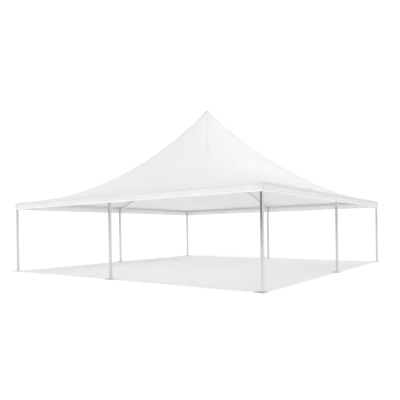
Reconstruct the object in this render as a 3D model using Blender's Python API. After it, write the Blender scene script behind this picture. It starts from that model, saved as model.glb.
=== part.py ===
"""Frame marquee on a square plan, with a pointed, tensioned roof.

Eight square legs stand on flat plates, at the corners and at the middle of each side. Eave beams
join their heads. Four bowed rafters rise from the middle legs to a hub over the centre, and a short
king mast on the hub lifts the roof cloth to its peak. A straight valance hangs from the eave.

Metres, +Z up. The origin is on the ground at the centre of the plan. The front is at -Y, the right
at +X.
"""

import math

import bmesh
import bpy
from mathutils import Matrix, Vector

# Plan and heights
SIDE = 10.0  # between the axes of the corner legs
EAVE_HEIGHT = 2.50  # top of the cloth along the eave
PEAK_HEIGHT = 6.10  # top of the cloth at the peak
VALANCE_DROP = 0.255  # from the top of the cloth along the eave to the valance's lower edge
GAP = 0.0003  # between pieces that touch

# Base plates
PLATE_SIDE = 0.24
PLATE_THICK = 0.010
PLATE_SHIFT = -0.045  # every plate lies this far along X from its leg
STAKE_HOLE_RADIUS = 0.011
STAKE_HOLE_INSET = 0.032  # from the plate's edges
STAKE_HOLE_SIDES = 10
SPIGOT_SIDE = 0.056
SPIGOT_HEIGHT = 0.12

# Legs and eave beams
LEG_SIDE = 0.070
TUBE_WALL = 0.003
TUBE_CORNER = 0.006
BEAM_WIDTH = 0.060
BEAM_HEIGHT = 0.080
BEAM_TOP = EAVE_HEIGHT - 0.020
BRACKET_SIDE = 0.080
BRACKET_HEIGHT = 0.140
BRACKET_BEVEL = 0.004

# Rafters, hub and mast
RAFTER_RADIUS = 0.035
RAFTER_WALL = 0.004
RAFTER_FOOT_Z = 2.420  # axis of the tube at the leg's bracket
RAFTER_HEAD_Z = 3.740  # axis of the tube at the hub
RAFTER_BOW = 0.160  # how far the middle stands above a straight tube
RAFTER_STEPS = 9
RAFTER_SIDES = 12
RAFTER_END_GAP = 0.002
HUB_SIDE = 0.160
HUB_HEIGHT = 0.200
MAST_RADIUS = 0.035
MAST_WALL = 0.004
MAST_TOP = 5.930
MAST_SIDES = 20
HEAD_RADIUS = 0.095
HEAD_TIP_RADIUS = 0.030
HEAD_RIM = 0.018
HEAD_HEIGHT = 0.100

# Cloth
CLOTH_HALF = 5.060  # from the centre to the outer face of the cloth along a side
EAVE_RADIUS = 0.045  # of the bend where the roof cloth turns down over the eave
EAVE_STEPS = 3
EAVE_HEM = 0.010  # straight edge of the roof cloth below the bend
ROOF_THICK = 0.006
ROOF_CELLS = 20  # cells of the roof's grid along one side
ROOF_GRADING = 1.25  # above 1, the grid is finer towards the peak
ROOF_CURVE = 2.05  # 1 is a straight hip, more hangs lower
VALANCE_THICK = 0.004
CAP_RADIUS = 0.100
CAP_LIFT = 0.009  # of the cap's underside over the cloth at the peak
CAP_THICK = 0.003
CAP_SIDES = 24

HALF = SIDE / 2
BRACKET_BASE = BEAM_TOP - BRACKET_HEIGHT
LEG_TOP = BRACKET_BASE - GAP
ROOF_HALF = CLOTH_HALF - EAVE_RADIUS  # from the centre to where the bend begins
ROOF_EDGE = EAVE_HEIGHT - EAVE_RADIUS - EAVE_HEM
VALANCE_TOP = ROOF_EDGE - GAP
HUB_BASE = RAFTER_HEAD_Z - HUB_HEIGHT / 2
ROOF_RISE = PEAK_HEIGHT - EAVE_HEIGHT

CORNERS = {
    "front_left": (-HALF, -HALF),
    "front_right": (HALF, -HALF),
    "back_right": (HALF, HALF),
    "back_left": (-HALF, HALF),
}
MIDDLES = {
    "front": (0.0, -HALF),
    "right": (HALF, 0.0),
    "back": (0.0, HALF),
    "left": (-HALF, 0.0),
}
POSTS = {**CORNERS, **{f"{side}_middle": place for side, place in MIDDLES.items()}}


def clear_scene():
    for obj in list(bpy.data.objects):
        bpy.data.objects.remove(obj)


def material(name, colour, roughness, metallic):
    made = bpy.data.materials.new(name)
    made.use_nodes = True
    shader = made.node_tree.nodes["Principled BSDF"]
    shader.inputs["Base Color"].default_value = (*colour, 1.0)
    shader.inputs["Roughness"].default_value = roughness
    shader.inputs["Metallic"].default_value = metallic
    return made


def add_object(name, mesh, finish, location=(0.0, 0.0, 0.0), turn=(0.0, 0.0, 0.0)):
    """Links an object that shows this mesh at this place. Angles are in radians."""
    obj = bpy.data.objects.new(name, mesh)
    obj.location = location
    obj.rotation_euler = turn
    bpy.context.scene.collection.objects.link(obj)
    if finish.name not in mesh.materials:
        mesh.materials.append(finish)
    return obj


def mesh_from(name, bm):
    bmesh.ops.recalc_face_normals(bm, faces=bm.faces)
    mesh = bpy.data.meshes.new(name)
    bm.to_mesh(mesh)
    bm.free()
    return mesh


def add_wall(obj, thickness, offset=-1.0):
    """Gives an open skin its thickness: inwards from the skin at -1, outwards at 1."""
    wall = obj.modifiers.new("Wall", "SOLIDIFY")
    wall.thickness = thickness
    wall.offset = offset
    wall.use_even_offset = True


def block(width, depth, height, bevel=0.0, segments=2):
    """A bmesh block on the plane z = 0, centred on the origin, with its upright edges rounded."""
    bm = bmesh.new()
    bmesh.ops.create_cube(bm, size=1.0)
    bmesh.ops.scale(bm, vec=(width, depth, height), verts=bm.verts)
    bmesh.ops.translate(bm, vec=(0.0, 0.0, height / 2), verts=bm.verts)
    if bevel:
        upright = [e for e in bm.edges if abs(e.verts[0].co.z - e.verts[1].co.z) > height / 2]
        bmesh.ops.bevel(
            bm, geom=upright, offset=bevel, segments=segments, profile=0.5, affect="EDGES", material=-1
        )
    return bm


def drop_ends(bm):
    """Removes the faces that look straight up or down, which leaves an open tube."""
    bm.normal_update()
    ends = [f for f in bm.faces if abs(f.normal.z) > 0.9]
    bmesh.ops.delete(bm, geom=ends, context="FACES_ONLY")


def square_tube_mesh(name, width, depth, length):
    bm = block(width, depth, length, TUBE_CORNER)
    drop_ends(bm)
    return mesh_from(name, bm)


def stake_pegs():
    """Four upright pegs, one through each corner of a plate whose centre is the origin."""
    bm = bmesh.new()
    reach = PLATE_SIDE / 2 - STAKE_HOLE_INSET
    for x in (-reach, reach):
        for y in (-reach, reach):
            bmesh.ops.create_cone(
                bm,
                cap_ends=True,
                segments=STAKE_HOLE_SIDES,
                radius1=STAKE_HOLE_RADIUS,
                radius2=STAKE_HOLE_RADIUS,
                depth=PLATE_THICK * 4,
                matrix=Matrix.Translation((x, y, PLATE_THICK / 2)),
            )
    return bm


def add_tool(obj, name, bm, operation, location):
    """Joins a hidden shape to obj, or cuts it away, with a Boolean."""
    tool = bpy.data.objects.new(name, mesh_from(name, bm))
    tool.location = location
    tool.hide_render = True
    tool.display_type = "WIRE"
    bpy.context.scene.collection.objects.link(tool)
    boolean = obj.modifiers.new(name, "BOOLEAN")
    boolean.operation = operation
    boolean.object = tool
    return tool


def baked_mesh(blank, tools):
    """The mesh of blank with its Booleans worked out, in the place where blank stands."""
    bpy.context.view_layer.update()
    made = blank.evaluated_get(bpy.context.evaluated_depsgraph_get())
    mesh = bpy.data.meshes.new_from_object(made)
    mesh.transform(blank.matrix_world)
    for obj in (blank, *tools):
        bpy.data.objects.remove(obj)
    return mesh


def base_plate_mesh(steel):
    """A flat plate with stake holes, and a spigot at the origin that goes up into the leg."""
    centre = (PLATE_SHIFT, 0.0, 0.0)
    flat = mesh_from("base_plate", block(PLATE_SIDE, PLATE_SIDE, PLATE_THICK))
    blank = add_object("plate_blank", flat, steel, centre)
    root = PLATE_THICK / 2
    spigot = block(SPIGOT_SIDE, SPIGOT_SIDE, root + SPIGOT_HEIGHT)
    return baked_mesh(
        blank,
        [
            add_tool(blank, "spigot", spigot, "UNION", (0.0, 0.0, root)),
            add_tool(blank, "stake_pegs", stake_pegs(), "DIFFERENCE", centre),
        ],
    )


def add_base_plates(steel):
    mesh = base_plate_mesh(steel)
    for post, (x, y) in POSTS.items():
        add_object(f"base_plate_{post}", mesh, steel, (x, y, 0.0))


def add_legs(aluminium):
    foot = PLATE_THICK + GAP
    mesh = square_tube_mesh("leg", LEG_SIDE, LEG_SIDE, LEG_TOP - foot)
    for post, (x, y) in POSTS.items():
        add_wall(add_object(f"leg_{post}", mesh, aluminium, (x, y, foot)), TUBE_WALL)


def add_brackets(cast):
    """Head brackets. Each stands on its leg, with a spigot that goes down into it."""
    body = block(BRACKET_SIDE, BRACKET_SIDE, BRACKET_HEIGHT, BRACKET_BEVEL)
    blank = add_object("bracket_blank", mesh_from("head_bracket", body), cast)
    root = BRACKET_HEIGHT / 2
    spigot = block(SPIGOT_SIDE, SPIGOT_SIDE, root + SPIGOT_HEIGHT)
    mesh = baked_mesh(
        blank, [add_tool(blank, "spigot", spigot, "UNION", (0.0, 0.0, -SPIGOT_HEIGHT))]
    )
    for post, (x, y) in POSTS.items():
        add_object(f"head_bracket_{post}", mesh, cast, (x, y, BRACKET_BASE))


def add_eave_beams(aluminium):
    """Two beams a side, each from one head bracket to the next."""
    clear = BRACKET_SIDE / 2 + GAP
    mesh = square_tube_mesh("eave_beam", BEAM_HEIGHT, BEAM_WIDTH, HALF - 2 * clear)
    level = BEAM_TOP - BEAM_HEIGHT / 2
    quarter = math.radians(90)
    for side, (x, y) in MIDDLES.items():
        along_x = side in ("front", "back")
        halves = ("left", "right") if along_x else ("front", "back")
        for half, start in zip(halves, (-HALF + clear, clear)):
            place = (start, y, level) if along_x else (x, start, level)
            turn = (0.0, quarter, 0.0) if along_x else (0.0, quarter, quarter)
            add_wall(add_object(f"eave_beam_{side}_{half}", mesh, aluminium, place, turn), TUBE_WALL)


def rafter_mesh():
    """A bowed tube in the plane y = 0, from the hub near x = 0 out to the bracket near x = HALF."""
    head = Vector((HUB_SIDE / 2, 0.0, RAFTER_HEAD_Z))
    foot = Vector((HALF - BRACKET_SIDE / 2, 0.0, RAFTER_FOOT_Z))
    chord = foot - head
    radius = chord.length_squared / (8 * RAFTER_BOW) + RAFTER_BOW / 2
    below = Vector((chord.z, 0.0, -chord.x)).normalized()
    centre = head + chord / 2 + below * (radius - RAFTER_BOW)
    overrun = 2 * RAFTER_RADIUS / radius
    sweep = 2 * math.asin(chord.length / (2 * radius)) + 2 * overrun
    out = (head - centre).normalized()
    out.rotate(Matrix.Rotation(-overrun, 3, "Y"))
    ring = Matrix.Translation(centre + out * radius) @ Vector((out.z, 0.0, -out.x)).to_track_quat(
        "Z", "Y"
    ).to_matrix().to_4x4()
    bm = bmesh.new()
    bmesh.ops.create_circle(bm, cap_ends=False, segments=RAFTER_SIDES, radius=RAFTER_RADIUS, matrix=ring)
    bmesh.ops.spin(
        bm, geom=bm.verts[:] + bm.edges[:], cent=centre, axis=(0.0, 1.0, 0.0), angle=sweep, steps=RAFTER_STEPS
    )
    for x, side in ((head.x + RAFTER_END_GAP, -1.0), (foot.x - RAFTER_END_GAP, 1.0)):
        bmesh.ops.bisect_plane(
            bm,
            geom=bm.verts[:] + bm.edges[:] + bm.faces[:],
            plane_co=(x, 0.0, 0.0),
            plane_no=(side, 0.0, 0.0),
            clear_outer=True,
        )
    mesh = mesh_from("rafter", bm)
    mesh.shade_smooth()
    return mesh


def add_rafters(aluminium):
    mesh = rafter_mesh()
    for side, turn in (("right", 0), ("back", 90), ("left", 180), ("front", 270)):
        rafter = add_object(f"rafter_{side}", mesh, aluminium, turn=(0.0, 0.0, math.radians(turn)))
        add_wall(rafter, RAFTER_WALL)


def add_hub_and_mast(cast, aluminium):
    hub = block(HUB_SIDE, HUB_SIDE, HUB_HEIGHT, bevel=0.012)
    add_object("crown_hub", mesh_from("crown_hub", hub), cast, (0.0, 0.0, HUB_BASE))

    foot = HUB_BASE + HUB_HEIGHT + GAP
    length = MAST_TOP - foot
    bm = bmesh.new()
    bmesh.ops.create_cone(
        bm, cap_ends=False, segments=MAST_SIDES, radius1=MAST_RADIUS, radius2=MAST_RADIUS, depth=length
    )
    mast_mesh = mesh_from("king_mast", bm)
    mast_mesh.shade_smooth()
    mast = add_object("king_mast", mast_mesh, aluminium, (0.0, 0.0, foot + length / 2))
    add_wall(mast, MAST_WALL)

    bm = bmesh.new()
    bmesh.ops.create_cone(
        bm, cap_ends=True, segments=MAST_SIDES, radius1=HEAD_RADIUS, radius2=HEAD_RADIUS, depth=HEAD_RIM
    )
    bmesh.ops.translate(bm, vec=(0.0, 0.0, HEAD_RIM / 2), verts=bm.verts)
    bm.normal_update()
    top = max(bm.faces, key=lambda f: f.calc_center_median().z)
    raised = bmesh.ops.extrude_face_region(bm, geom=[top])
    rim = [item for item in raised["geom"] if isinstance(item, bmesh.types.BMVert)]
    shrink = HEAD_TIP_RADIUS / HEAD_RADIUS
    bmesh.ops.scale(bm, vec=(shrink, shrink, 1.0), verts=rim)
    bmesh.ops.translate(bm, vec=(0.0, 0.0, HEAD_HEIGHT - HEAD_RIM), verts=rim)
    if top.is_valid:
        bmesh.ops.delete(bm, geom=[top], context="FACES_ONLY")
    add_object("mast_head", mesh_from("mast_head", bm), cast, (0.0, 0.0, MAST_TOP + GAP))


def roof_height(x, y):
    """Height of the cloth. Its level lines are squares at the eave and turn to circles at the peak."""
    u = min(abs(x) / ROOF_HALF, 1.0)
    v = min(abs(y) / ROOF_HALF, 1.0)
    inside = math.sqrt((1 - u * u) * (1 - v * v))
    out = math.sqrt(1 - inside)
    return EAVE_HEIGHT + ROOF_RISE * (1 - out) ** ROOF_CURVE


def turn_down(bm):
    """Carries the rim of the roof out and down through a quarter of a circle, then straight down."""
    rim = [edge for edge in bm.edges if edge.is_boundary]
    turns = [math.radians(90) * step / EAVE_STEPS for step in range(1, EAVE_STEPS + 1)]
    bend = [(math.sin(turn), EAVE_HEIGHT - EAVE_RADIUS * (1 - math.cos(turn))) for turn in turns]
    for share, level in [*bend, (1.0, ROOF_EDGE)]:
        reach = ROOF_HALF + EAVE_RADIUS * share
        grown = bmesh.ops.extrude_edge_only(bm, edges=rim)["geom"]
        rim = [item for item in grown if isinstance(item, bmesh.types.BMEdge)]
        for vert in (item for item in grown if isinstance(item, bmesh.types.BMVert)):
            for axis in (0, 1):
                if abs(vert.co[axis]) > ROOF_HALF - GAP:
                    vert.co[axis] = math.copysign(reach, vert.co[axis])
            vert.co.z = level


def add_canopy(cloth):
    """The roof: one cloth from the peak to the eave, where it turns down over the beams."""
    bm = bmesh.new()
    bmesh.ops.create_grid(bm, x_segments=ROOF_CELLS, y_segments=ROOF_CELLS, size=1.0)
    for vert in bm.verts:
        x, y = (ROOF_HALF * math.copysign(abs(c) ** ROOF_GRADING, c) for c in vert.co.xy)
        vert.co = (x, y, roof_height(x, y))
    turn_down(bm)
    mesh = mesh_from("canopy", bm)
    mesh.shade_smooth()
    canopy = add_object("canopy", mesh, cloth)
    add_wall(canopy, ROOF_THICK)


def add_valances(cloth):
    """Straight strips that hang from the roof's turned-down edge. The front and back ones cover the ends of the other two."""
    height = VALANCE_TOP - (EAVE_HEIGHT - VALANCE_DROP)
    centre = CLOTH_HALF - VALANCE_THICK / 2
    base = EAVE_HEIGHT - VALANCE_DROP
    long_mesh = mesh_from("valance_long", block(2 * CLOTH_HALF, VALANCE_THICK, height))
    short = 2 * (CLOTH_HALF - VALANCE_THICK - GAP)
    short_mesh = mesh_from("valance_short", block(VALANCE_THICK, short, height))
    add_object("valance_front", long_mesh, cloth, (0.0, -centre, base))
    add_object("valance_back", long_mesh, cloth, (0.0, centre, base))
    add_object("valance_left", short_mesh, cloth, (-centre, 0.0, base))
    add_object("valance_right", short_mesh, cloth, (centre, 0.0, base))


def add_peak_cap(cloth):
    """A small cone that keeps rain off the seams where they meet at the peak."""
    slope = ROOF_RISE * ROOF_CURVE / (ROOF_HALF * math.sqrt(2))
    depth = CAP_RADIUS * slope
    bm = bmesh.new()
    bmesh.ops.create_cone(
        bm, cap_ends=False, segments=CAP_SIDES, radius1=CAP_RADIUS, radius2=0.0, depth=depth
    )
    bmesh.ops.remove_doubles(bm, verts=bm.verts, dist=1e-5)
    mesh = mesh_from("peak_cap", bm)
    mesh.shade_smooth()
    cap = add_object("peak_cap", mesh, cloth, (0.0, 0.0, PEAK_HEIGHT + CAP_LIFT - depth / 2))
    add_wall(cap, CAP_THICK, offset=1.0)


def main():
    clear_scene()
    aluminium = material("aluminium_profile", (0.78, 0.79, 0.80), 0.38, 1.0)
    cast = material("cast_aluminium", (0.62, 0.63, 0.64), 0.50, 1.0)
    steel = material("galvanised_steel", (0.60, 0.61, 0.62), 0.45, 1.0)
    roof_cloth = material("roof_cloth", (0.93, 0.93, 0.93), 0.45, 0.0)
    valance_cloth = material("valance_cloth", (0.91, 0.91, 0.92), 0.45, 0.0)

    add_base_plates(steel)
    add_legs(aluminium)
    add_brackets(cast)
    add_eave_beams(aluminium)
    add_rafters(aluminium)
    add_hub_and_mast(cast, aluminium)
    add_canopy(roof_cloth)
    add_valances(valance_cloth)
    add_peak_cap(roof_cloth)


main()
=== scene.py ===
"""Looks of a white frame marquee: cloth, hems, fastenings, finishes, studio and camera.

The roof is one coated cloth over a peak. It turns down over the eave, and a straight valance hangs
from its edge on each side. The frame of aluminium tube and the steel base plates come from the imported
model and get their finishes here. Metres, +Z up, front at -Y, right at +X.
"""

import math

import bmesh
import bpy
from mathutils import Matrix, Vector


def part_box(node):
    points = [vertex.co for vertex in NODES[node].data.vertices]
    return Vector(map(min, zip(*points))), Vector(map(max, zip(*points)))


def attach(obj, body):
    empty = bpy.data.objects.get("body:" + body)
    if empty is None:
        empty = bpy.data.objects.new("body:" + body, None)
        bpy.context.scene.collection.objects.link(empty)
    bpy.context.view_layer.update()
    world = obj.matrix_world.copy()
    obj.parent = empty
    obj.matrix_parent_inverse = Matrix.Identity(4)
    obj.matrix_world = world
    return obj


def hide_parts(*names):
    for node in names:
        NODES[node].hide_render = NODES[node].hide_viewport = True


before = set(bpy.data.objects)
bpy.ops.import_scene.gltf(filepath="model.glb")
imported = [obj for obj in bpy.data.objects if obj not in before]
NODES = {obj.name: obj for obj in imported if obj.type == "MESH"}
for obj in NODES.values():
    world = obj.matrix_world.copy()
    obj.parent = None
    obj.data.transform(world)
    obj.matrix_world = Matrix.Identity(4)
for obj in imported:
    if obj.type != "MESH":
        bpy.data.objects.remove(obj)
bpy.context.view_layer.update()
ROOT = "root"

# Camera, fitted to the eight legs, the peak and the roof's outline
CAMERA_PLACE = (9.382, -13.231, 1.400)
CAMERA_TURN = math.radians(36.53)
CAMERA_ROLL = math.radians(0.80)
CAMERA_LENS = 37.42
CAMERA_SHIFT_Y = 0.0758

# Floor, plain white behind all, and lamp over the peak
FLOOR_TONE = 0.75
FLOOR_GLOW = 0.219
FLOOR_REACH = 150.0
BACKDROP = 1.1
LAMP_STRENGTH = 0.352 * math.pi
LAMP_WIDTH = math.radians(5)
LAMP_HEIGHT = 20.0

# Soft boxes: azimuth from the front towards the right, elevation, strength. A wide one fades slowly.
WIDE_FADE = 6.0
CLOSE_FADE = 24.0
WIDE_BOXES = (
    (0, 65, 0.362),
    (45, 5, 1.100),
    (45, 65, 0.537),
    (90, 5, 0.522),
    (135, 5, 0.870),
    (180, 5, 0.563),
    (270, 5, 2.105),
)
CLOSE_BOXES = (
    (0, 20, 3.850),
    (60, 30, 1.000),
    (180, 45, 2.850),
)

# Roof cloth. Its middle is a hollow pyramid; its rim bends down over the eave beams.
ROOF_LOW, ROOF_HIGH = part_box("canopy")
EAVE_RADIUS = 0.045
EAVE_HEM = 0.010
BEND = EAVE_RADIUS * math.pi / 2
EAVE_HEIGHT = ROOF_LOW.z + EAVE_RADIUS + EAVE_HEM
CLOTH_HALF = ROOF_HIGH.x
ROOF_HALF = CLOTH_HALF - EAVE_RADIUS
ROOF_RISE = ROOF_HIGH.z - EAVE_HEIGHT
ROOF_CURVE = 2.05
ROOF_CELLS = 140
RIM_CELLS = 8
ROOF_GRADING = 1.18
ROOF_THICK = 0.0018
WELD_HALF_GAP = 1.25

# Valances
VALANCE_LOW, VALANCE_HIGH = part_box("valance_front")
VALANCE_TUCK = 0.007
VALANCE_TOP = VALANCE_HIGH.z + VALANCE_TUCK
VALANCE_DROP = VALANCE_TOP - VALANCE_LOW.z
VALANCE_THICK = 0.0016
VALANCE_RADIUS = EAVE_RADIUS - ROOF_THICK - 0.0004
VALANCE_CELLS = 240
VALANCE_ROWS = 24
CORNER_CELLS = 6
HEM_HEIGHT = 0.036
HEM_PROUD = 0.0012
# Painted shade: the hems' colour is this share of the cloth's white
HEM_PAINTED_SHADE = 0.95
RIPPLE = 0.0022

# Collar at the peak
COLLAR_RADIUS = 0.098
COLLAR_LIFT = 0.0026
COLLAR_STEPS = 8
COLLAR_THICK = 0.0016

# Frame
LEG_SIDE = 0.070
BRACKET_SIDE = 0.080
BEAM_WIDTH = 0.060
HALF = 5.0
FOOT_BOLT_Z = 0.072
HEAD_BOLT_Z = 2.288
BEAM_BOLT_Z = 2.440
BEAM_BOLT_IN = 0.055
FRAME_BOLT = 0.012
RAFTER_BOLT = 0.0075
MAST_BOLT = 0.0085
RAFTER_RADIUS = 0.035
RAFTER_FOOT = Vector((HALF - BRACKET_SIDE / 2, 0.0, 2.420))
RAFTER_HEAD = Vector((0.080, 0.0, 3.740))
RAFTER_BOW = 0.160
SLEEVE_LENGTH = 0.110
HUB_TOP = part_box("crown_hub")[1].z

POSTS = {}
for name in NODES:
    if name.startswith("leg_"):
        low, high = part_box(name)
        POSTS[name.removeprefix("leg_")] = ((low.x + high.x) / 2, (low.y + high.y) / 2)
QUARTERS = {"right": 0, "back": 90, "left": 180, "front": 270}


class Value:
    """A shader socket on which Python's operators add Math nodes."""

    def __init__(self, nodes, socket):
        self.nodes = nodes
        self.socket = socket

    def maths(self, operation, *others):
        return self.nodes.node("ShaderNodeMath", {"operation": operation}, dict(enumerate((self, *others))))

    def __add__(self, other):
        return self.maths("ADD", other)

    __radd__ = __add__

    def __sub__(self, other):
        return self.maths("SUBTRACT", other)

    def __rsub__(self, other):
        return self.maths("MULTIPLY_ADD", -1.0, other)

    def __mul__(self, other):
        return self.maths("MULTIPLY", other)

    __rmul__ = __mul__

    def __pow__(self, other):
        return self.maths("POWER", other)

    def __abs__(self):
        return self.maths("ABSOLUTE")

    def sine(self):
        return self.maths("SINE")

    def smaller(self, other):
        return self.maths("MINIMUM", other)

    def larger(self, other):
        return self.maths("MAXIMUM", other)

    def zigzag(self, reach):
        """Climbs from 0 to reach and falls back to 0, again and again."""
        return self.maths("PINGPONG", reach)

    def fade(self, start, end):
        """0 up to start and 1 from end on, with a smooth rise between them."""
        return self.nodes.node(
            "ShaderNodeMapRange",
            {"interpolation_type": "SMOOTHSTEP"},
            {"Value": self, "From Min": start, "From Max": end},
        )


class Nodes:
    """A node tree that is being put together."""

    def __init__(self, owner):
        owner.use_nodes = True
        self.tree = owner.node_tree
        self.tree.nodes.clear()

    def node(self, kind, settings=None, sockets=None, out=0):
        """Adds a node, sets it up, then fills its sockets with numbers, colours or links."""
        made = self.tree.nodes.new(kind)
        for setting, value in (settings or {}).items():
            setattr(made, setting, value)
        for name, value in (sockets or {}).items():
            if isinstance(value, Value):
                self.tree.links.new(value.socket, made.inputs[name])
            else:
                made.inputs[name].default_value = value
        return Value(self, made.outputs[out]) if made.outputs else None


class Finish(Nodes):
    """A material and its nodes."""

    def __init__(self, name):
        self.material = bpy.data.materials.new(name)
        super().__init__(self.material)

    def place(self, stretch=(1.0, 1.0, 1.0)):
        """Object coordinates, in metres, multiplied along each axis."""
        here = self.node("ShaderNodeTexCoord", out="Object")
        return self.node("ShaderNodeMapping", sockets={"Vector": here, "Scale": stretch})

    def axes(self, place):
        apart = self.node("ShaderNodeSeparateXYZ", sockets={"Vector": place})
        outputs = apart.socket.node.outputs
        return tuple(Value(self, outputs[i]) for i in range(3))

    def noise(self, place, scale, detail=3.0, roughness=0.55):
        return self.node(
            "ShaderNodeTexNoise",
            sockets={"Vector": place, "Scale": scale, "Detail": detail, "Roughness": roughness},
        )

    def blend(self, factor, first, second):
        """A colour between two colours."""
        return self.node("ShaderNodeMix", {"data_type": "RGBA"}, {0: factor, 6: first, 7: second}, out=2)

    def bump(self, height, distance, strength=1.0, under=None):
        sockets = {"Height": height, "Distance": distance, "Strength": strength}
        if under:
            sockets["Normal"] = under
        return self.node("ShaderNodeBump", sockets=sockets)

    def shader(self, **sockets):
        names = {name.replace("_", " ").title(): value for name, value in sockets.items()}
        return self.node("ShaderNodeBsdfPrincipled", sockets=names)

    def done(self, surface):
        self.node("ShaderNodeOutputMaterial", sockets={"Surface": surface})
        return self.material


def grey(level, warmth=0.0):
    return (level * (1 + warmth), level, level * (1 - warmth), 1.0)


def cloth_finish(name, white, weld_lines, hem, through, clear, clear_above, clearer=0.0):
    """White coated cloth: a fine weave under a satin coat, welded seams, some light passing through.

    No light comes through the hem, where the cloth is double, and a painted shade darkens its colour there.
    Higher up the cloth is drawn tighter and is clearer.
    """
    finish = Finish(name)
    here = finish.place()
    x, y, z = finish.axes(here)
    weld = weld_lines(x, y, z)
    single = z.fade(*hem)
    cloud = finish.noise(here, 0.9, detail=4.0)
    grain = finish.noise(here, 90.0, detail=2.0)
    weave = (x * 2600.0).sine() * (y * 2600.0).sine()
    tone = finish.blend(cloud, grey(white * 0.985, -0.004), grey(white, 0.0))
    tone = finish.blend(weld * 0.5, tone, grey(white * 0.955, -0.004))
    # Painted shade: the double hem gets a darker colour than the rest of the same cloth
    tone = finish.blend(single, grey(white * HEM_PAINTED_SHADE), tone)
    rough = 0.40 + cloud * 0.08 + grain * 0.05
    under = finish.bump(weave + grain * 0.6, 0.00012, 0.35)
    normal = finish.bump(weld, 0.0008, 0.8, under)
    coat = finish.shader(base_color=tone, roughness=rough, normal=normal)
    glow = finish.node("ShaderNodeBsdfTranslucent", sockets={"Color": grey(0.96)})
    cloth = finish.node("ShaderNodeMixShader", sockets={0: single * through, 1: coat, 2: glow})
    open_weave = finish.node("ShaderNodeBsdfTransparent")
    open_share = single * clear + z.fade(*clear_above) * clearer
    seen = finish.node("ShaderNodeMixShader", sockets={0: open_share, 1: cloth, 2: open_weave})
    return finish.done(seen)


def roof_welds(x, y, z):
    """Overlapped welds: down the four hips and, every 2.5 m along a side, up each face."""
    across, along = abs(x), abs(y)
    hip = abs(across - along) * 0.7071
    strip = WELD_HALF_GAP - across.smaller(along).zigzag(WELD_HALF_GAP)
    return 1 - hip.smaller(strip).fade(0.020, 0.0225)


def valance_welds(x, y, z):
    """The upper edge of the hem's pocket, and an upright weld every 2.5 m."""
    pocket = abs(z - (VALANCE_LOW.z + HEM_HEIGHT))
    strip = WELD_HALF_GAP - abs(x).smaller(abs(y)).zigzag(WELD_HALF_GAP)
    return 1 - pocket.smaller(strip).fade(0.004, 0.006)


def profile_finish(name, along, tone=0.80):
    """Anodised aluminium: faint draw lines along the bar, soft scuffs, a little wear low down."""
    finish = Finish(name)
    stretch = tuple(2.0 if axis == along else 420.0 for axis in "xyz")
    lines = finish.noise(finish.place(stretch), 1.0, detail=2.0)
    here = finish.place()
    x, y, z = finish.axes(here)
    scuff = finish.noise(here, 9.0, detail=6.0, roughness=0.7).fade(0.55, 0.75)
    low = 1 - z.fade(0.02, 0.30)
    wear = (scuff * (0.35 + low * 0.65)).smaller(1.0)
    colour = finish.blend(lines, grey(tone * 0.95, -0.01), grey(tone, -0.01))
    colour = finish.blend(wear * 0.5, colour, grey(tone * 0.80, -0.005))
    rough = 0.18 + lines * 0.06 + wear * 0.14
    normal = finish.bump(lines, 0.0002, 0.25)
    return finish.done(finish.shader(base_color=colour, roughness=rough, metallic=1.0, normal=normal))


def cast_finish(name):
    """Cast aluminium: a fine grain and a dull, slightly blotched skin."""
    finish = Finish(name)
    here = finish.place()
    grain = finish.noise(here, 420.0, detail=3.0)
    blotch = finish.noise(here, 22.0, detail=5.0)
    colour = finish.blend(blotch, grey(0.60, -0.01), grey(0.72, -0.01))
    rough = 0.42 + blotch * 0.16
    normal = finish.bump(grain, 0.0006, 0.5)
    return finish.done(finish.shader(base_color=colour, roughness=rough, metallic=1.0, normal=normal))


def galvanised_finish(name):
    """Hot-dip galvanised steel: dull spangle with pale, weathered patches."""
    finish = Finish(name)
    here = finish.place()
    spangle = finish.node(
        "ShaderNodeTexVoronoi", {"feature": "F1"}, {"Vector": here, "Scale": 70.0}, out="Color"
    )
    shade = finish.axes(spangle)[0]
    weather = finish.noise(here, 14.0, detail=5.0)
    colour = finish.blend(shade, grey(0.56, -0.015), grey(0.70, -0.015))
    colour = finish.blend(weather.fade(0.45, 0.75) * 0.5, colour, grey(0.74, -0.005))
    rough = 0.36 + shade * 0.14 + weather * 0.10
    normal = finish.bump(weather + shade * 0.3, 0.0006, 0.4)
    return finish.done(finish.shader(base_color=colour, roughness=rough, metallic=0.9, normal=normal))


def zinc_finish(name):
    """Zinc-plated bolts."""
    finish = Finish(name)
    blotch = finish.noise(finish.place(), 180.0, detail=3.0)
    colour = finish.blend(blotch, grey(0.66, 0.01), grey(0.80, 0.0))
    return finish.done(finish.shader(base_color=colour, roughness=0.26 + blotch * 0.12, metallic=1.0))


def add_piece(name, bm, finish, smooth=True):
    """Makes a mesh object of a finished bmesh, with its place in its mesh, and rides it on the frame."""
    mesh = bpy.data.meshes.new(name)
    bm.to_mesh(mesh)
    bm.free()
    if smooth:
        mesh.shade_smooth()
        mesh.set_sharp_from_angle(angle=math.radians(38))
    mesh.materials.append(finish)
    piece = bpy.data.objects.new(name, mesh)
    bpy.context.scene.collection.objects.link(piece)
    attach(piece, ROOT)
    return piece


def give_wall(piece, thickness, offset=-1.0):
    wall = piece.modifiers.new("Wall", "SOLIDIFY")
    wall.thickness = thickness
    wall.offset = offset
    wall.use_even_offset = True


def roof_height(x, y):
    """Height of the cloth. Its level lines are squares at the eave and turn to circles at the peak."""
    u = min(abs(x) / ROOF_HALF, 1.0)
    v = min(abs(y) / ROOF_HALF, 1.0)
    inside = math.sqrt((1 - u * u) * (1 - v * v))
    return EAVE_HEIGHT + ROOF_RISE * (1 - math.sqrt(1 - inside)) ** ROOF_CURVE


def smooth_step(value, start, end):
    share = min(max((value - start) / (end - start), 0.0), 1.0)
    return share * share * (3 - 2 * share)


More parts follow.
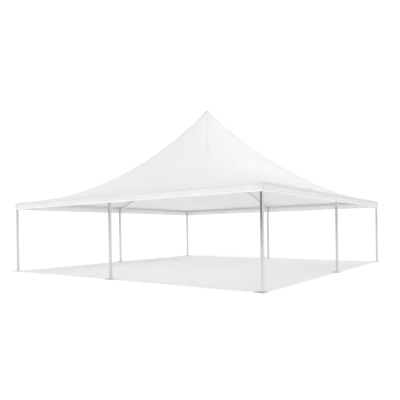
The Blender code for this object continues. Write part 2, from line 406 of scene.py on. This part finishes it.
def pull_lines(x, y):
    """Shallow folds in the stretched cloth, which run out from the peak and in from the corners."""
    reach = math.hypot(x, y)
    around = math.atan2(y, x)
    peak = smooth_step(reach, 0.10, 0.28) * (1 - smooth_step(reach, 0.35, 1.3))
    folds = 0.0012 * peak * math.cos(12 * around + 1.3 * math.sin(3 * around))
    from_corner = math.hypot(ROOF_HALF - abs(x), ROOF_HALF - abs(y))
    hip = (abs(x) - abs(y)) / 0.16
    corner = smooth_step(from_corner, 0.0, 0.3) * (1 - smooth_step(from_corner, 0.4, 1.5))
    return folds + 0.0016 * corner * math.cos(hip) * math.exp(-hip * hip / 18)


def over_the_eave(beyond):
    """How far out and how far down the cloth has gone, this far past the start of its bend."""
    turn = min(beyond / EAVE_RADIUS, math.pi / 2)
    straight = max(beyond - BEND, 0.0)
    return EAVE_RADIUS * math.sin(turn), EAVE_RADIUS * (1 - math.cos(turn)) + straight


def lay_cloth(p, q):
    """Where a point of the flat cloth comes to lie. The corners are rounded over the legs' heads."""
    past_x, past_y = abs(p) - ROOF_HALF, abs(q) - ROOF_HALF
    if max(past_x, past_y) <= 0:
        return p, q, roof_height(p, q) + pull_lines(p, q)
    out, down = over_the_eave(max(past_x, past_y))
    if past_y <= 0:
        x, y = ROOF_HALF + out, abs(q)
    elif past_x <= 0:
        x, y = abs(p), ROOF_HALF + out
    else:
        share = past_y / past_x / 2 if past_x >= past_y else 1 - past_x / past_y / 2
        turn = share * math.pi / 2
        x, y = ROOF_HALF + out * math.cos(turn), ROOF_HALF + out * math.sin(turn)
    return math.copysign(x, p), math.copysign(y, q), EAVE_HEIGHT - down


def spaced(share, cells, end_cells, middle, end, grading=1.0):
    """Turns an even grid line, from -1 to 1, into a place, with finer cells over the two ends."""
    inner = 1 - 2 * end_cells / cells
    size = abs(share)
    if size <= inner:
        place = middle * (size / inner) ** grading
    else:
        place = middle + end * (size - inner) / (1 - inner)
    return math.copysign(place, share)


def make_roof(cloth):
    """The roof cloth: one sheet from the peak to the eave, where it turns down over the beams."""
    bm = bmesh.new()
    bmesh.ops.create_grid(bm, x_segments=ROOF_CELLS, y_segments=ROOF_CELLS, size=1.0)
    for vert in bm.verts:
        p, q = (
            spaced(c, ROOF_CELLS, RIM_CELLS, ROOF_HALF, BEND + EAVE_HEM, ROOF_GRADING) for c in vert.co.xy
        )
        vert.co = lay_cloth(p, q)
    roof = add_piece("roof_cloth", bm, cloth)
    give_wall(roof, ROOF_THICK)
    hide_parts("canopy")
    return roof


def make_valance(side, turn, cloth):
    """A strip along one side and half-way round both its corners, tucked under the roof's edge."""
    corner = VALANCE_RADIUS * math.pi / 4 - 0.0003
    bm = bmesh.new()
    bmesh.ops.create_grid(bm, x_segments=VALANCE_CELLS, y_segments=VALANCE_ROWS, size=1.0)
    for vert in bm.verts:
        run = spaced(vert.co.x, VALANCE_CELLS, CORNER_CELLS, ROOF_HALF, corner)
        level = (vert.co.y + 1) / 2 * VALANCE_DROP
        loose = 1 - smooth_step(level, 0.05, VALANCE_DROP)
        slack = smooth_step(ROOF_HALF - abs(run), 0.0, 0.5)
        ripple = RIPPLE * loose * slack * math.sin(run * 5.1 + math.sin(run * 1.7) * 1.3)
        proud = HEM_PROUD * (1 - smooth_step(level, HEM_HEIGHT - 0.006, HEM_HEIGHT + 0.002))
        reach = VALANCE_RADIUS + proud + ripple
        round_corner = max(abs(run) - ROOF_HALF, 0.0) / VALANCE_RADIUS
        along = min(abs(run), ROOF_HALF) + reach * math.sin(round_corner)
        out = ROOF_HALF + reach * math.cos(round_corner)
        vert.co = (math.copysign(along, run), -out, VALANCE_LOW.z + level)
    bmesh.ops.rotate(bm, verts=bm.verts, matrix=Matrix.Rotation(math.radians(turn), 3, "Z"))
    valance = add_piece(f"valance_cloth_{side}", bm, cloth)
    give_wall(valance, VALANCE_THICK)
    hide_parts(f"valance_{side}")
    return valance


def make_collar(cloth):
    """A round collar of the same cloth, welded over the seams at the peak."""
    bm = bmesh.new()
    line = []
    for step in range(COLLAR_STEPS + 1):
        reach = COLLAR_RADIUS * step / COLLAR_STEPS
        line.append(bm.verts.new((reach, 0.0, roof_height(reach, 0.0) + COLLAR_LIFT)))
    edges = [bm.edges.new(pair) for pair in zip(line, line[1:])]
    bmesh.ops.spin(
        bm, geom=line + edges, cent=(0, 0, 0), axis=(0, 0, 1), angle=math.tau, steps=64, use_merge=True
    )
    bmesh.ops.remove_doubles(bm, verts=bm.verts, dist=1e-5)
    bmesh.ops.recalc_face_normals(bm, faces=bm.faces)
    bm.normal_update()
    if sum(face.normal.z for face in bm.faces) < 0:
        bmesh.ops.reverse_faces(bm, faces=bm.faces)
    collar = add_piece("peak_collar", bm, cloth)
    give_wall(collar, COLLAR_THICK)
    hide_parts("peak_cap")
    return collar


def add_bolt(bm, place, out, size=FRAME_BOLT):
    """A washer and a chamfered hexagon head, standing out from a surface."""
    stand = Vector(out).to_track_quat("Z", "Y").to_matrix().to_4x4()
    place = Matrix.Translation(place) @ stand
    washer, head = 0.18 * size, 0.62 * size
    bmesh.ops.create_cone(
        bm,
        cap_ends=True,
        segments=24,
        radius1=size,
        radius2=size,
        depth=washer,
        matrix=place @ Matrix.Translation((0.0, 0.0, washer / 2)),
    )
    shank = bmesh.ops.create_cone(
        bm,
        cap_ends=True,
        segments=6,
        radius1=size * 0.90,
        radius2=size * 0.90,
        depth=head,
        matrix=place @ Matrix.Translation((0.0, 0.0, washer + head / 2)),
    )
    top = place @ Vector((0.0, 0.0, washer + head))
    edges = {e for v in shank["verts"] for e in v.link_edges}
    rim = [e for e in edges if all((w.co - top).length < size for w in e.verts)]
    bmesh.ops.bevel(
        bm, geom=rim, offset=size * 0.09, segments=2, profile=0.5, affect="EDGES", material=-1
    )


def make_foot_bolts(finish):
    """A bolt through each leg and the spigot of its plate: a head on one face, a nut on the other."""
    for post, (x, y) in POSTS.items():
        bm = bmesh.new()
        for out in (-1.0, 1.0):
            add_bolt(bm, (x, y + out * LEG_SIDE / 2, FOOT_BOLT_Z), (0.0, out, 0.0))
        add_piece(f"foot_bolt_{post}", bm, finish)


def make_head_bolts(finish):
    """Bolts where the leg goes over its bracket's spigot and where the eave beams end."""
    for post, (x, y) in POSTS.items():
        bm = bmesh.new()
        for out in (-1.0, 1.0):
            add_bolt(bm, (x + out * LEG_SIDE / 2, y, HEAD_BOLT_Z), (out, 0.0, 0.0))
        inner = HALF - BEAM_WIDTH / 2
        step = BRACKET_SIDE / 2 + BEAM_BOLT_IN
        for along in (-1.0, 1.0):
            if abs(y) > 1 and abs(x + along * step) < HALF:
                add_bolt(bm, (x + along * step, math.copysign(inner, y), BEAM_BOLT_Z), (0.0, -y, 0.0))
            if abs(x) > 1 and abs(y + along * step) < HALF:
                add_bolt(bm, (math.copysign(inner, x), y + along * step, BEAM_BOLT_Z), (-x, 0.0, 0.0))
        add_piece(f"head_bolts_{post}", bm, finish)


def make_rafter_ends(cast, steel):
    """A sleeve and a bolted flange at both ends of each rafter."""
    chord = RAFTER_FOOT - RAFTER_HEAD
    radius = chord.length_squared / (8 * RAFTER_BOW) + RAFTER_BOW / 2
    lean = math.asin(chord.length / (2 * radius))
    slope = math.atan2(-chord.z, chord.x)
    ends = {
        "foot": (RAFTER_FOOT, -1.0, slope + lean, 0.076, 0.108, 2.418),
        "head": (RAFTER_HEAD, 1.0, slope - lean, 0.104, 0.104, RAFTER_HEAD.z),
    }
    for side, degrees in QUARTERS.items():
        turn = Matrix.Rotation(math.radians(degrees), 3, "Z")
        for end, (place, inward, angle, width, height, level) in ends.items():
            along = Vector((inward * math.cos(angle), 0.0, -inward * math.sin(angle)))
            bm = bmesh.new()
            stand = along.to_track_quat("Z", "Y").to_matrix().to_4x4()
            tube = bmesh.ops.create_cone(
                bm,
                cap_ends=False,
                segments=32,
                radius1=RAFTER_RADIUS + 0.0035,
                radius2=RAFTER_RADIUS + 0.0035,
                depth=SLEEVE_LENGTH,
                matrix=Matrix.Translation(place + along * (SLEEVE_LENGTH / 2 + 0.004)) @ stand,
            )
            bmesh.ops.solidify(bm, geom=bm.faces[:], thickness=0.0033)
            flange = bmesh.ops.create_cube(bm, size=1.0)["verts"]
            bmesh.ops.scale(bm, vec=(0.006, width, height), verts=flange)
            bmesh.ops.translate(bm, vec=(place.x + inward * 0.0034, 0.0, level), verts=flange)
            edges = {e for v in flange for e in v.link_edges}
            short = [e for e in edges if abs(e.verts[0].co.x - e.verts[1].co.x) > 0.003]
            bmesh.ops.bevel(
                bm, geom=short, offset=0.008, segments=4, profile=0.5, affect="EDGES", material=-1
            )
            bmesh.ops.rotate(bm, verts=bm.verts, matrix=turn)
            add_piece(f"rafter_{end}_sleeve_{side}", bm, cast)
            bm = bmesh.new()
            for across in (-1.0, 1.0):
                for up in (-1.0, 1.0):
                    spot = (
                        place.x + inward * 0.0064,
                        across * (width / 2 - 0.011),
                        level + up * (height / 2 - 0.011),
                    )
                    add_bolt(bm, spot, (inward, 0.0, 0.0), RAFTER_BOLT)
            bmesh.ops.rotate(bm, verts=bm.verts, matrix=turn)
            add_piece(f"rafter_{end}_bolts_{side}", bm, steel)


def make_mast_foot(cast, steel):
    """A turned flange that holds the mast on the hub, with four bolts."""
    lower = ((0.0353, 0.0), (0.074, 0.0), (0.074, 0.008))
    profile = (*lower, (0.046, 0.008), (0.0375, 0.045), (0.0353, 0.045))
    bm = bmesh.new()
    line = [bm.verts.new((r, 0.0, HUB_TOP + 0.0004 + z)) for r, z in profile]
    edges = [bm.edges.new(pair) for pair in zip(line, line[1:] + line[:1])]
    bmesh.ops.spin(
        bm, geom=line + edges, cent=(0, 0, 0), axis=(0, 0, 1), angle=math.tau, steps=48, use_merge=True
    )
    bmesh.ops.remove_doubles(bm, verts=bm.verts, dist=1e-5)
    bmesh.ops.recalc_face_normals(bm, faces=bm.faces)
    add_piece("mast_foot_flange", bm, cast)
    bm = bmesh.new()
    for quarter in range(4):
        turn = math.radians(45 + 90 * quarter)
        spot = (0.060 * math.cos(turn), 0.060 * math.sin(turn), HUB_TOP + 0.0084)
        add_bolt(bm, spot, (0, 0, 1), MAST_BOLT)
    add_piece("mast_foot_bolts", bm, steel)


def dress_frame(finishes):
    """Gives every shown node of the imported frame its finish."""
    for name, node in NODES.items():
        if name.startswith("base_plate"):
            finish = finishes["plate"]
        elif name.startswith("leg_"):
            finish = finishes["upright"]
        elif name == "king_mast":
            finish = finishes["mast"]
        elif name.startswith(("eave_beam_front", "eave_beam_back")):
            finish = finishes["beam_x"]
        elif name.startswith("eave_beam"):
            finish = finishes["beam_y"]
        elif name in ("rafter_left", "rafter_right"):
            finish = finishes["rafter_x"]
        elif name.startswith("rafter"):
            finish = finishes["rafter_y"]
        elif name.startswith(("head_bracket", "crown_hub", "mast_head")):
            finish = finishes["cast"]
        else:
            continue
        node.data.materials.clear()
        node.data.materials.append(finish)


def make_camera():
    data = bpy.data.cameras.new("camera")
    data.lens = CAMERA_LENS
    data.sensor_width = 36.0
    data.shift_y = CAMERA_SHIFT_Y
    data.clip_end = 400.0
    camera = bpy.data.objects.new("camera", data)
    camera.location = CAMERA_PLACE
    camera.rotation_euler = (math.radians(90), CAMERA_ROLL, CAMERA_TURN)
    bpy.context.scene.collection.objects.link(camera)
    bpy.context.scene.camera = camera


def make_floor():
    bm = bmesh.new()
    bmesh.ops.create_grid(bm, x_segments=1, y_segments=1, size=FLOOR_REACH)
    mesh = bpy.data.meshes.new("floor")
    bm.to_mesh(mesh)
    bm.free()
    finish = Finish("floor")
    white = finish.node("ShaderNodeBsdfDiffuse", sockets={"Color": grey(FLOOR_TONE)})
    glow = finish.node("ShaderNodeEmission", sockets={"Color": grey(1.0), "Strength": FLOOR_GLOW})
    mesh.materials.append(finish.done(finish.node("ShaderNodeAddShader", sockets={0: white, 1: glow})))
    floor = bpy.data.objects.new("floor", mesh)
    bpy.context.scene.collection.objects.link(floor)


def make_studio():
    """Soft boxes round the scene, as glowing parts of the surroundings. The camera sees plain white."""
    world = bpy.data.worlds.new("studio")
    studio = Nodes(world)
    way = studio.node("ShaderNodeTexCoord", out="Generated")
    total = 0.0
    for boxes, fade in ((WIDE_BOXES, WIDE_FADE), (CLOSE_BOXES, CLOSE_FADE)):
        for azimuth, elevation, strength in boxes:
            around, up = math.radians(azimuth), math.radians(elevation)
            centre = (math.cos(up) * math.sin(around), -math.cos(up) * math.cos(around), math.sin(up))
            facing = studio.node(
                "ShaderNodeVectorMath", {"operation": "DOT_PRODUCT"}, {0: way, 1: centre}, out="Value"
            )
            total = total + facing.larger(0.0) ** fade * strength
    lighting = studio.node("ShaderNodeBackground", sockets={"Color": grey(1.0), "Strength": total})
    backdrop = studio.node("ShaderNodeBackground", sockets={"Color": grey(1.0), "Strength": BACKDROP})
    to_camera = studio.node("ShaderNodeLightPath", out="Is Camera Ray")
    mix = studio.node("ShaderNodeMixShader", sockets={0: to_camera, 1: lighting, 2: backdrop})
    studio.node("ShaderNodeOutputWorld", sockets={"Surface": mix})
    bpy.context.scene.world = world


def make_lamp():
    """A small lamp high over the peak, which draws the roof's shadow on the floor."""
    data = bpy.data.lights.new("overhead_lamp", "SUN")
    data.energy = LAMP_STRENGTH
    data.angle = LAMP_WIDTH
    lamp = bpy.data.objects.new("overhead_lamp", data)
    lamp.location = (0.0, 0.0, LAMP_HEIGHT)
    bpy.context.scene.collection.objects.link(lamp)


def main():
    make_camera()
    make_floor()
    make_studio()
    make_lamp()
    tight = (EAVE_HEIGHT + 0.20, EAVE_HEIGHT + 1.70)
    hem = (ROOF_LOW.z + EAVE_HEM, ROOF_LOW.z + 3 * EAVE_HEM)
    # Painted shade: the roof is toned 0.89 and the valances 0.94, though both are the same white cloth
    roof_cloth = cloth_finish("roof_cloth_finish", 0.89, roof_welds, hem, 0.15, 0.28, tight, clearer=0.13)
    pocket = (VALANCE_LOW.z + HEM_HEIGHT - 0.001, VALANCE_LOW.z + HEM_HEIGHT)
    valance_cloth = cloth_finish("valance_cloth_finish", 0.94, valance_welds, pocket, 0.26, 0.27, tight)
    finishes = {
        "plate": galvanised_finish("galvanised_steel_finish"),
        "upright": profile_finish("aluminium_upright", "z", tone=0.72),
        # Painted shade: the mast's aluminium is toned near black, and the rafters' is darker than the
        # beams', for the dark lines they show through the cloth
        "mast": profile_finish("aluminium_mast_painted_shade", "z", tone=0.22),
        "rafter_x": profile_finish("aluminium_rafter_x_painted_shade", "x", tone=0.64),
        "rafter_y": profile_finish("aluminium_rafter_y_painted_shade", "y", tone=0.64),
        "beam_x": profile_finish("aluminium_beam_x", "x"),
        "beam_y": profile_finish("aluminium_beam_y", "y"),
        "cast": cast_finish("cast_aluminium_finish"),
        "zinc": zinc_finish("zinc_plated_finish"),
    }
    dress_frame(finishes)
    make_foot_bolts(finishes["zinc"])
    make_head_bolts(finishes["zinc"])
    make_rafter_ends(finishes["cast"], finishes["zinc"])
    make_mast_foot(finishes["cast"], finishes["zinc"])
    roof = make_roof(roof_cloth)
    collar = make_collar(roof_cloth)
    sides = {"front": 0, "right": 90, "back": 180, "left": 270}
    valances = [make_valance(side, turn, valance_cloth) for side, turn in sides.items()]
    length = 2 * (ROOF_HALF + VALANCE_RADIUS * math.pi / 4)


main()
bpy.context.scene.view_settings.view_transform = "Standard"
